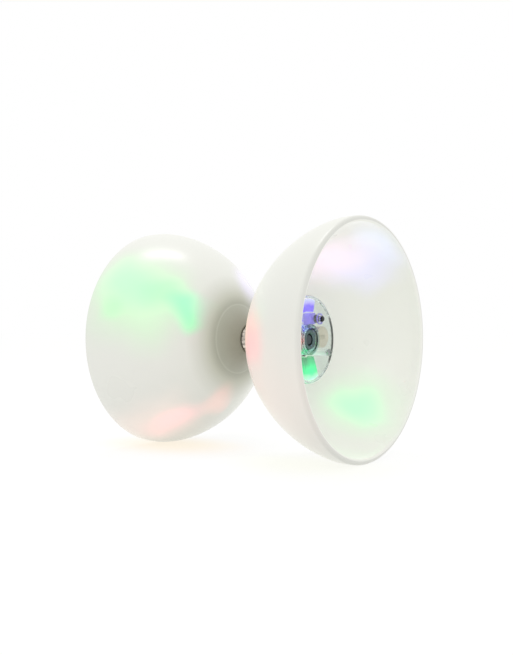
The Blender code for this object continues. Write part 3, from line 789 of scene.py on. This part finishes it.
def clear_finish(side):
    """The clear cover, with a painted glow of each light caught in it and painted teal-grey shade on its
    centre ring.
    """
    settings = bpy.context.scene.diabolo_module
    lights = bpy.context.scene.diabolo_light
    finish = Finish(f"clear plastic {side}")
    pattern = finish.noise(finish.place, 180.0)
    colour = finish.mix(pattern, tuple(c * 0.96 for c in settings.clear) + (1.0,),
                        (*settings.clear, 1.0))
    cloud = finish.noise(finish.place, 160.0, 2.0, output="Color")
    shift = finish.vector("SUBTRACT", cloud, (0.5, 0.5, 0.5))
    wobbled = finish.vector("MULTIPLY_ADD", shift, (0.005, 0.005, 0.005), finish.place)
    # Painted shade: the centre ring is teal-grey, standing for the dark nut seen through it.
    from_axle = finish.vector("LENGTH", finish.vector("MULTIPLY", finish.place, (0, 1, 1)))
    outer = finish.spread(from_axle, 8.0 * MM, 8.5 * MM)
    colour = finish.mix(outer, (0.42, 0.62, 0.64, 1.0), colour)
    # Painted glow of each light in the cover.
    light = (0.0, 0.0, 0.0)
    turn = module_matrix(side)
    for angle, name in zip(LIGHT_ANGLES, LIGHT_ORDER[side]):
        centre = turn @ at_polar(angle, 15 * MM, 30 * MM) @ Vector((0, 0, 0))
        world_angle = math.atan2(centre.z, centre.y)
        strength = finish.spot(wobbled, centre.x, world_angle, 15 * MM, (12 * MM, 8 * MM))
        given = tuple(0.16 * c for c in getattr(lights, name))
        light = finish.vector("ADD", finish.scaled(given, strength), light)
    finish.link(colour, finish.shader.inputs["Base Color"])
    finish.link(light, finish.shader.inputs["Emission Color"])
    finish.shader.inputs["Emission Strength"].default_value = 1.0
    finish.shader.inputs["Transmission Weight"].default_value = 0.96
    finish.shader.inputs["IOR"].default_value = 1.34
    finish.link(finish.spread(pattern, 0.3, 0.7, 0.02, 0.05), finish.shader.inputs["Roughness"])
    return finish.material


class DIABOLO_OT_covers(bpy.types.Operator):
    """Turn the clear covers, with their centre rings, edge notches and holes"""
    bl_idname = "diabolo.covers"
    bl_label = "Light covers"

    def execute(self, context):
        settings = context.scene.diabolo_module
        start = near("right_light_cover")
        ring_top = far("right_light_cover")
        front = ring_top - 0.6 * MM
        plate = front - 1.3 * MM
        radius = width("right_light_cover", 1) / 2
        bore = radius - 1.5 * MM
        ring_bore, ring_radius = 6.37 * MM, 8.07 * MM
        soft = 0.25 * MM
        outline = [
            (start, bore),
            (start, radius - soft),
            (start + soft, radius),
            *arc(front - settings.chamfer, radius - settings.chamfer, settings.chamfer, 90, 0, 6),
            (front, ring_radius + soft),
            (front + soft, ring_radius),
            *arc(ring_top - soft, ring_radius - soft, soft, 90, 0, 4),
            *arc(ring_top - soft, ring_bore + soft, soft, 0, -90, 4),
            (front - 6 * MM, ring_bore),
            (front - 6 * MM, ring_radius),
            (plate, ring_radius),
            (plate, bore - 0.4 * MM),
            (plate - 0.4 * MM, bore),
        ]
        switch = switch_frame()
        for side in SIDES:
            cutters = []
            places = [(switch, 1.8 * MM)]
            places += [(at_polar(angle, radius - 4.2 * MM), 1.1 * MM) for angle in SCREW_ANGLES]
            for place, hole_radius in places:
                hole = rod(plate - 1 * MM, front + 0.3 * MM, hole_radius, 28)
                bmesh.ops.transform(hole, matrix=place, verts=hole.verts)
                cutters.append(hole)
            for i in range(settings.edge_notches):
                notch = block((front - 2.4 * MM, front + 1 * MM), (radius - 0.6 * MM, radius + 1 * MM),
                              (-0.35 * MM, 0.35 * MM))
                turn = Matrix.Rotation(math.radians(-14 + 7 * i), 4, "X")
                bmesh.ops.transform(notch, matrix=turn, verts=notch.verts)
                cutters.append(notch)
            cover = combined(lathe(outline, FINE), cutters, "DIFFERENCE")
            add_piece(f"{side}_clear_cover", cover, clear_finish(side), "rotor",
                      [f"{side}_light_cover"], module_matrix(side))
        return {"FINISHED"}


class DIABOLO_OT_boards(bpy.types.Operator):
    """Make the circuit boards, notched round the cells, with their small parts and solder"""
    bl_idname = "diabolo.boards"
    bl_label = "Circuit boards"

    def execute(self, context):
        settings = context.scene.diabolo_module
        low, high = near("right_circuit_board"), far("right_circuit_board")
        centre = cell_distance()
        radius = centre + 5.3 * MM
        # Painted glow: the board gives off a soft light that stands for light reaching it through the
        # clear cover.
        laminate = plain_finish("pale laminate", settings.board, 0.5, grain=90, depth=0.08,
                                glow=(0.76, 0.78, 0.72), glow_power=0.35)
        solder = plain_finish("solder", (0.62, 0.63, 0.62), 0.3, metallic=1.0, grain=900)
        black = plain_finish("black resin", (0.03, 0.03, 0.035), 0.35)
        brown = plain_finish("wound wire", (0.14, 0.08, 0.04), 0.4, metallic=0.5, grain=900, depth=0.4,
                             stretch=(3, 0.3, 0.3))
        for side in SIDES:
            notches = []
            for place, size in [(at_polar(0, centre), 6.3 * MM)] + [
                    (at_polar(angle, width("right_light_cover", 1) / 2 - 4.2 * MM), 2.2 * MM)
                    for angle in SCREW_ANGLES]:
                notch = rod(low - 1 * MM, high + 1 * MM, size, 32)
                bmesh.ops.transform(notch, matrix=place, verts=notch.verts)
                notches.append(notch)
            board = combined(rod(low, high, radius, FINE, bore=5.7 * MM), notches, "DIFFERENCE")
            add_piece(f"{side}_laminate_board", board, laminate, "rotor",
                      [f"{side}_circuit_board"], module_matrix(side))
            joints = []
            for angle in LIGHT_ANGLES:
                for offset in (-1.27 * MM, 1.27 * MM):
                    dome = lathe([(0, 0), (0, 0.75 * MM), (0.25 * MM, 0.6 * MM), (0.5 * MM, 0.3 * MM),
                                  (0.55 * MM, 0)], 16, closed=False)
                    place = Matrix.Rotation(angle, 4, "X")
                    place = place @ Matrix.Translation((high, 8.6 * MM, offset))
                    joints.append((dome, place))
            add_piece(f"{side}_solder", merged(joints), solder, "rotor", (),
                      module_matrix(side))
            coil = rod(high, high + 7.5 * MM, 1.2 * MM, 24, 0.3 * MM)
            add_piece(f"{side}_choke", coil, brown, "rotor", (),
                      module_matrix(side) @ at_polar(math.radians(34), 10.2 * MM))
            chips = []
            for angle in (130, 215, 308):
                chip = block((high, high + 0.9 * MM), (-0.7 * MM, 0.7 * MM), (-1.2 * MM, 1.2 * MM),
                             0.1 * MM)
                chips.append((chip, at_polar(math.radians(angle), 12.6 * MM)))
            add_piece(f"{side}_board_parts", merged(chips), black, "rotor", (),
                      module_matrix(side))
        return {"FINISHED"}


class DIABOLO_OT_lights(bpy.types.Operator):
    """Make the three domed lights of each module, with their chips, posts and legs"""
    bl_idname = "diabolo.lights"
    bl_label = "Lights"

    def execute(self, context):
        settings = context.scene.diabolo_light
        board_top = far("right_circuit_board")
        axis = board_top + GAP + 2.9 * MM
        foot = 8.07 * MM + 1.3 * MM
        length, radius, flange = 8.4 * MM, 2.5 * MM, 2.9 * MM
        dome = length - radius
        outline = [
            (0.0, 0.0), (0.0, flange), (1 * MM, flange), (1 * MM, radius + 0.1 * MM),
            (1.1 * MM, radius), *arc(dome, 0.0, radius, 90, 0, 12),
        ]
        tin = plain_finish("tinned legs", (0.60, 0.60, 0.60), 0.3, metallic=1.0, grain=900)
        for side in SIDES:
            for angle, name in zip(LIGHT_ANGLES, LIGHT_ORDER[side]):
                colour = tuple(getattr(settings, name))
                lying = at_polar(angle, foot, axis) @ Matrix.Rotation(math.pi / 2, 4, "Z")
                place = module_matrix(side) @ lying
                tinted = tuple(0.55 + 0.45 * c for c in colour)
                resin = plain_finish(f"lit {name} resin", tinted, 0.05, transmission=0.95,
                                     depth=0.02, glow=colour, glow_power=settings.body_power)
                chip = plain_finish(f"lit {name} chip", colour, 0.4, glow=tuple(
                    0.4 + 0.6 * c for c in colour), glow_power=settings.power)
                add_piece(f"{side}_{name}_light", lathe(outline, SMALL, closed=False), resin, "rotor",
                          [f"{side}_led_{name}"], place)
                cup = lathe([(5.9 * MM, 0.0), (5.9 * MM, 0.7 * MM), (7.0 * MM, 1.3 * MM),
                             (7.0 * MM, 1.1 * MM), (6.3 * MM, 0.5 * MM), (6.3 * MM, 0.0)], 24,
                            closed=False)
                add_piece(f"{side}_{name}_chip", cup, chip, "rotor", (), place)
                # Painted glow: the posts show their light's colour as if lit through the resin.
                painted_lit_frame = plain_finish(f"{name} lead frame", tuple(0.1 * c for c in colour), 0.3,
                                    glow=colour, glow_power=0.75)
                posts = []
                for offset in (-1.1 * MM, 1.1 * MM):
                    post = block((0.4 * MM, 5.6 * MM), (-1.2 * MM, 1.2 * MM),
                                 (offset - 0.9 * MM, offset + 0.9 * MM), 0.7 * MM)
                    posts.append((post, Matrix()))
                add_piece(f"{side}_{name}_posts", merged(posts), painted_lit_frame, "rotor", (), place)
                self.light_guide(side, angle, name, colour)
                legs = []
                for offset in (-1.27 * MM, 1.27 * MM):
                    flat = block((-0.95 * MM, 0.0), (-0.25 * MM, 0.25 * MM),
                                 (offset - 0.25 * MM, offset + 0.25 * MM))
                    legs.append((flat, Matrix()))
                    down = block((-0.95 * MM, -0.45 * MM), (-0.25 * MM, axis - board_top + 0.1 * MM),
                                 (offset - 0.25 * MM, offset + 0.25 * MM))
                    legs.append((down, Matrix()))
                add_piece(f"{side}_{name}_legs", merged(legs), tin, "rotor", (), place)
        return {"FINISHED"}

    def light_guide(self, side, angle, name, colour):
        """The fan-shaped window of clear resin in front of one light, with a painted glow of its light.
        """
        start = 9.7 * MM if name == "green" else 15.2 * MM
        end = 21.4 * MM
        low, high = far("right_led_blue") + 0.25 * MM, near("right_contact_strap") + 9.6 * MM
        half = math.radians(19)
        bm = bmesh.new()
        corners = [bm.verts.new((x, r, 0)) for x, r in ((low, start), (high, start),
                                                         (high, end), (low, end))]
        bm.faces.new(corners)
        bmesh.ops.spin(bm, geom=bm.verts[:] + bm.edges[:] + bm.faces[:], cent=(0, 0, 0),
                       axis=(1, 0, 0), dvec=(0, 0, 0), angle=2 * half, steps=16,
                       use_merge=False, use_duplicate=False)
        key = f"{name} light window"
        if key not in bpy.data.materials:
            finish = Finish(key)
            from_axle = finish.vector("LENGTH", finish.vector("MULTIPLY", finish.place, (0, 1, 1)))
            cloud = finish.math("MULTIPLY", finish.noise(finish.place, 500.0), 2.5 * MM)
            reach = finish.spread(finish.math("ADD", from_axle, cloud), 10 * MM, 23 * MM)
            # Painted light: the window glows dim near the axle, fully in the light's colour in the
            # middle, and fades to a painted pale glint at its outer edge.
            lit = finish.ramp(reach, (
                (0.0, (*(0.12 * c + 0.01 for c in colour), 1.0)),
                (0.3, (*(0.4 * c + 0.02 for c in colour), 1.0)),
                (0.55, (*(0.95 * c for c in colour), 1.0)),
                (0.70, (*(0.95 * c for c in colour), 1.0)),
                (0.86, (*(0.5 + 0.5 * c for c in colour), 1.0)),
                (1.0, (0.80, 0.95, 1.0, 1.0)),
            ))
            finish.shader.inputs["Base Color"].default_value = (*(0.3 * c for c in colour), 1.0)
            finish.link(lit, finish.shader.inputs["Emission Color"])
            finish.shader.inputs["Emission Strength"].default_value = 0.85
            finish.shader.inputs["Transmission Weight"].default_value = 0.1
            finish.shader.inputs["Specular IOR Level"].default_value = 0.2
            finish.shader.inputs["Roughness"].default_value = 0.3
        add_piece(f"{side}_{name}_window", bm, bpy.data.materials[key], "rotor", (),
                  module_matrix(side) @ Matrix.Rotation(angle - half, 4, "X"))


class DIABOLO_OT_cells(bpy.types.Operator):
    """Make the stacked button cells, with their brass contact springs and straps"""
    bl_idname = "diabolo.cells"
    bl_label = "Button cells and contacts"

    def execute(self, context):
        settings = context.scene.diabolo_module
        radius = 5.8 * MM
        # Painted glow: the cells and the spring strip give off a soft light in the cells' colour,
        # standing for light reaching them inside the module.
        steel = plain_finish("cell steel", settings.cell, 0.38, metallic=0.6, grain=700, depth=0.08,
                             glow=settings.cell, glow_power=0.35)
        brass = plain_finish("spring strip", (0.46, 0.42, 0.32), 0.36, metallic=0.8, grain=700,
                             glow=settings.cell, glow_power=0.25)
        for side in SIDES:
            matrix = module_matrix(side) @ at_polar(0, cell_distance())
            for i in range(3):
                low, high = near(f"right_cell_{i + 1}"), far(f"right_cell_{i + 1}")
                cell = lathe([
                    (low, 0.0), (low, 4.9 * MM), (low + 0.3 * MM, 5.1 * MM), (low + 0.5 * MM, 5.1 * MM),
                    (low + 0.5 * MM, 5.5 * MM), (low + 0.75 * MM, radius),
                    *arc(high - 0.4 * MM, radius - 0.4 * MM, 0.4 * MM, 90, 0, 4),
                    (high, 4.7 * MM), (high - 0.1 * MM, 4.5 * MM), (high - 0.1 * MM, 0.0),
                ], SMALL, closed=False)
                add_piece(f"{side}_button_cell_{i + 1}", cell, steel, "rotor",
                          [f"{side}_cell_{i + 1}"], matrix)
            low, high = near("right_cell_contact"), far("right_cell_contact")
            spring = lathe([(low, 1.5 * MM), (low, 4.4 * MM), (low + 0.2 * MM, 4.5 * MM),
                            (high, 2.6 * MM), (high, 1.5 * MM)], SMALL)
            add_piece(f"{side}_contact_spring", spring, brass, "rotor",
                      [f"{side}_cell_contact"], matrix)
            low, high = near("right_contact_strap"), far("right_contact_strap")
            reach = radius + 0.4 * MM
            face = high - 0.3 * MM
            top = block((face, high), (-reach - 0.3 * MM, 1.2 * MM), (-1.2 * MM, 1.2 * MM), 0.1 * MM)
            leg = block((low, face + 0.1 * MM), (-reach - 0.3 * MM, -reach), (-1.2 * MM, 1.2 * MM),
                        0.1 * MM)
            add_piece(f"{side}_brass_strap", merged([(top, Matrix()), (leg, Matrix())]), brass,
                      "rotor", [f"{side}_contact_strap"], matrix)
        return {"FINISHED"}


def switch_frame():
    """The place of the switch in a light module's own frame."""
    low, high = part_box("right_switch_button")
    middle = module_matrix("right").inverted() @ ((Vector(low) + Vector(high)) / 2)
    return at_polar(math.atan2(middle.z, middle.y), math.hypot(middle.y, middle.z))


class DIABOLO_OT_switches(bpy.types.Operator):
    """Make the tactile switches and their black push buttons"""
    bl_idname = "diabolo.switches"
    bl_label = "Switches and buttons"

    def execute(self, context):
        low, high = near("right_switch_body"), far("right_switch_body")
        front = far("right_light_cover") - 0.6 * MM
        lights = context.scene.diabolo_light
        black = plain_finish("black button", (0.012, 0.012, 0.014), 0.42, grain=900, depth=0.2)
        button_low, button_high = near("right_switch_button"), far("right_switch_button")
        for side in SIDES:
            matrix = module_matrix(side) @ switch_frame()
            nearest = LIGHT_ORDER[side][0]
            # Painted glow: the switch case takes the colour of its nearest light.
            case = plain_finish(f"switch case lit {nearest}", (0.30, 0.30, 0.32), 0.4,
                                glow=tuple(getattr(lights, nearest)), glow_power=0.45)
            level = switch_frame().to_3x3().to_4x4().inverted()
            left_half = block((low, high - 0.4 * MM), (-3 * MM, -0.12 * MM), (-3 * MM, 3 * MM), 0.7 * MM)
            right_half = block((low, high - 0.4 * MM), (0.12 * MM, 3 * MM), (-3 * MM, 3 * MM), 0.7 * MM)
            collar = rod(high - 0.6 * MM, high, 2.3 * MM, 32, 0.1 * MM)
            guide = rod(front - 2.4 * MM, front - 1.65 * MM, 3 * MM, 40, 0.1 * MM, bore=2.45 * MM)
            parts = [(left_half, level), (right_half, level), (collar, Matrix()), (guide, Matrix())]
            add_piece(f"{side}_tactile_switch", merged(parts), case,
                      "rotor", [f"{side}_switch_body"], matrix)
            button = lathe([
                (button_low, 0.0), (button_low, 2.2 * MM), (button_low + 1 * MM, 2.2 * MM),
                (button_low + 1 * MM, 1.4 * MM), (front, 1.4 * MM),
                *arc(button_high - 0.3 * MM, 1.1 * MM, 0.3 * MM, 90, 0, 5),
                (button_high, 0.0),
            ], 32, closed=False)
            add_piece(f"{side}_push_button", button, black, f"{side}_switch_button",
                      [f"{side}_switch_button"], matrix)
        return {"FINISHED"}


class DIABOLO_OT_screws(bpy.types.Operator):
    """Make the pan-head screws that hold the covers, with cross recesses and threads"""
    bl_idname = "diabolo.screws"
    bl_label = "Cover screws"

    def execute(self, context):
        settings = context.scene.diabolo_hub
        zinc = plain_finish("screw zinc", (0.36, 0.40, 0.39), 0.32, metallic=1.0, grain=800, depth=0.12)
        start, top = near("right_cover_screw_1"), far("right_cover_screw_1")
        seat = top - 1 * MM
        radius = width("right_light_cover", 1) / 2 - 4.2 * MM
        thread = []
        x = start + 0.6 * MM
        while x < seat - 0.6 * MM:
            thread += [(x, 0.6 * MM), (x + 0.3 * MM, 0.8 * MM)]
            x += 0.6 * MM
        outline = [(start, 0.0), (start, 0.3 * MM), *thread, (seat, 0.7 * MM), (seat, 1.9 * MM)]
        outline += [(seat + 0.35 * MM, 1.9 * MM), (seat + 0.7 * MM, 1.6 * MM), (top, 0.9 * MM)]
        outline.append((top, 0.0))
        for side in SIDES:
            for i, angle in enumerate(SCREW_ANGLES):
                head = lathe(outline, 32, closed=False)
                slots = []
                for turn in (0.3, 0.3 + math.pi / 2):
                    slot = block((top - 0.6 * MM, top + 1 * MM), (-1.05 * MM, 1.05 * MM),
                                 (-0.2 * MM, 0.2 * MM))
                    bmesh.ops.rotate(slot, cent=(0, 0, 0), matrix=Matrix.Rotation(turn, 3, "X"),
                                     verts=slot.verts)
                    slots.append(slot)
                add_piece(f"{side}_pan_screw_{i + 1}", combined(head, slots, "DIFFERENCE"), zinc,
                          "rotor", [f"{side}_cover_screw_{i + 1}"],
                          module_place(side, angle, radius))
        return {"FINISHED"}


# Stage

def lamp(name, place, target, size, power, colour=(1.0, 1.0, 1.0)):
    """A soft rectangular lamp that faces a target."""
    data = bpy.data.lights.new(name, "AREA")
    data.shape = "RECTANGLE"
    data.size, data.size_y = size
    data.energy = power
    data.color = colour
    lamp_object = bpy.data.objects.new(name, data)
    lamp_object.location = place
    heading = Vector(target) - Vector(place)
    lamp_object.rotation_euler = heading.to_track_quat("-Z", "Y").to_euler()
    bpy.context.scene.collection.objects.link(lamp_object)
    return lamp_object


def floor_finish(low):
    """A plain white floor that keeps a soft shadow, with faint painted pools of the lights' colour by the
    cups.
    """
    finish = Finish("pale floor")
    tree = finish.tree
    tree.nodes.remove(finish.shader)
    output = tree.nodes["Material Output"]
    plain = tree.nodes.new("ShaderNodeBsdfDiffuse")
    plain.inputs["Color"].default_value = (0.8, 0.8, 0.8, 1.0)
    shadow = tree.nodes.new("ShaderNodeBsdfDiffuse")
    shadow.inputs["Color"].default_value = (0.16, 0.16, 0.155, 1.0)
    white = tree.nodes.new("ShaderNodeEmission")
    # Painted light: faint pools of the cups' coloured light on the floor, orange by the left cup and pale
    # straw by the right.
    painted_red_pool = finish.spread(finish.vector("LENGTH", finish.mapped(
        place=(-0.055, -0.01, low), scale=(0.07, 0.05, 0.05), kind="TEXTURE")), 0, 1, 1, 0, True)
    painted_yellow_pool = finish.spread(finish.vector("LENGTH", finish.mapped(
        place=(0.045, -0.02, low), scale=(0.07, 0.05, 0.05), kind="TEXTURE")), 0, 1, 1, 0, True)
    colour = finish.mix(painted_red_pool, (0.87, 0.87, 0.87, 1.0), (0.88, 0.80, 0.68, 1.0))
    colour = finish.mix(painted_yellow_pool, colour, (0.87, 0.87, 0.81, 1.0))
    finish.link(colour, white.inputs["Color"])
    both = tree.nodes.new("ShaderNodeAddShader")
    tree.links.new(shadow.outputs[0], both.inputs[0])
    tree.links.new(white.outputs[0], both.inputs[1])
    path = tree.nodes.new("ShaderNodeLightPath")
    seen = finish.math("MAXIMUM", path.outputs["Is Camera Ray"], path.outputs["Is Glossy Ray"])
    seen = finish.math("MAXIMUM", seen, path.outputs["Is Transmission Ray"])
    choice = tree.nodes.new("ShaderNodeMixShader")
    tree.links.new(seen, choice.inputs[0])
    tree.links.new(plain.outputs[0], choice.inputs[1])
    tree.links.new(both.outputs[0], choice.inputs[2])
    tree.links.new(choice.outputs[0], output.inputs["Surface"])
    return finish.material


class DIABOLO_OT_stage(bpy.types.Operator):
    """Lay a pale floor, set soft studio lamps and a white surround, and place the camera"""
    bl_idname = "diabolo.stage"
    bl_label = "Floor, lamps and camera"

    def execute(self, context):
        scene = context.scene
        settings = scene.diabolo_stage
        low = cad_box[0][2]
        bm = bmesh.new()
        bmesh.ops.create_grid(bm, x_segments=1, y_segments=1, size=settings.floor_size / 2)
        bmesh.ops.translate(bm, vec=(0, 0, low), verts=bm.verts)
        mesh = bpy.data.meshes.new("floor")
        bm.to_mesh(mesh)
        bm.free()
        mesh.materials.append(floor_finish(low))
        floor = bpy.data.objects.new("floor", mesh)
        scene.collection.objects.link(floor)
        self.surround(scene)
        lamp("overhead soft lamp", (-0.16, 0.12, 0.9), (0, 0, 0), (0.42, 0.10), settings.lamp_power)
        lamp("front soft lamp", (0.5, -1.1, 0.7), (0, 0, 0), (0.7, 0.7), settings.lamp_power)
        data = bpy.data.cameras.new("camera")
        data.lens = settings.focal_length
        data.sensor_width = 36
        data.shift_y = 0.0176
        camera = bpy.data.objects.new("camera", data)
        a, e = settings.azimuth, settings.elevation
        camera.location = settings.distance * Vector((
            math.sin(a) * math.cos(e), -math.cos(a) * math.cos(e), math.sin(e)))
        camera.rotation_euler = (-camera.location).to_track_quat("-Z", "Y").to_euler()
        scene.collection.objects.link(camera)
        scene.camera = camera
        scene.view_settings.view_transform = "Standard"
        return {"FINISHED"}

    def surround(self, scene):
        """A white surround that lights softly and shows as plain white."""
        world = bpy.data.worlds.new("white surround")
        scene.world = world
        world.use_nodes = True
        tree = world.node_tree
        background = tree.nodes["Background"]
        background.inputs["Color"].default_value = (1.0, 1.0, 1.0, 1.0)
        path = tree.nodes.new("ShaderNodeLightPath")
        first = tree.nodes.new("ShaderNodeMath")
        first.operation = "MAXIMUM"
        tree.links.new(path.outputs["Is Camera Ray"], first.inputs[0])
        tree.links.new(path.outputs["Is Transmission Ray"], first.inputs[1])
        strength = tree.nodes.new("ShaderNodeMapRange")
        strength.inputs["To Min"].default_value = 0.82
        strength.inputs["To Max"].default_value = 1.0
        tree.links.new(first.outputs[0], strength.inputs["Value"])
        tree.links.new(strength.outputs[0], background.inputs["Strength"])


OPERATORS = (
    DIABOLO_OT_cups,
    DIABOLO_OT_sleeve,
    DIABOLO_OT_axle,
    DIABOLO_OT_bearings,
    DIABOLO_OT_trays,
    DIABOLO_OT_covers,
    DIABOLO_OT_boards,
    DIABOLO_OT_lights,
    DIABOLO_OT_cells,
    DIABOLO_OT_switches,
    DIABOLO_OT_screws,
    DIABOLO_OT_stage,
)


class DIABOLO_PT_panel(bpy.types.Panel):
    """The diabolo's pieces and settings in the sidebar."""
    bl_idname = "DIABOLO_PT_panel"
    bl_label = "Diabolo"
    bl_space_type = "VIEW_3D"
    bl_region_type = "UI"
    bl_category = "Diabolo"

    def draw(self, context):
        for operator in OPERATORS:
            self.layout.operator(operator.bl_idname, text=operator.bl_label)
        for name, group in GROUPS.items():
            box = self.layout.box()
            for value in group.__annotations__:
                box.prop(getattr(context.scene, name), value)


def register():
    """Add the settings, operators and panel."""
    for group in GROUPS.values():
        bpy.utils.register_class(group)
    for operator in OPERATORS:
        bpy.utils.register_class(operator)
    bpy.utils.register_class(DIABOLO_PT_panel)
    for name, group in GROUPS.items():
        setattr(bpy.types.Scene, name, PointerProperty(type=group))


def unregister():
    """Remove the settings, operators and panel."""
    for name in GROUPS:
        delattr(bpy.types.Scene, name)
    bpy.utils.unregister_class(DIABOLO_PT_panel)
    for operator in reversed(OPERATORS):
        bpy.utils.unregister_class(operator)
    for group in reversed(list(GROUPS.values())):
        bpy.utils.unregister_class(group)


def main():
    """Build every piece."""
    register()
    for operator in OPERATORS:
        getattr(bpy.ops.diabolo, operator.bl_idname.split(".")[1])()


if __name__ == "__main__":
    main()
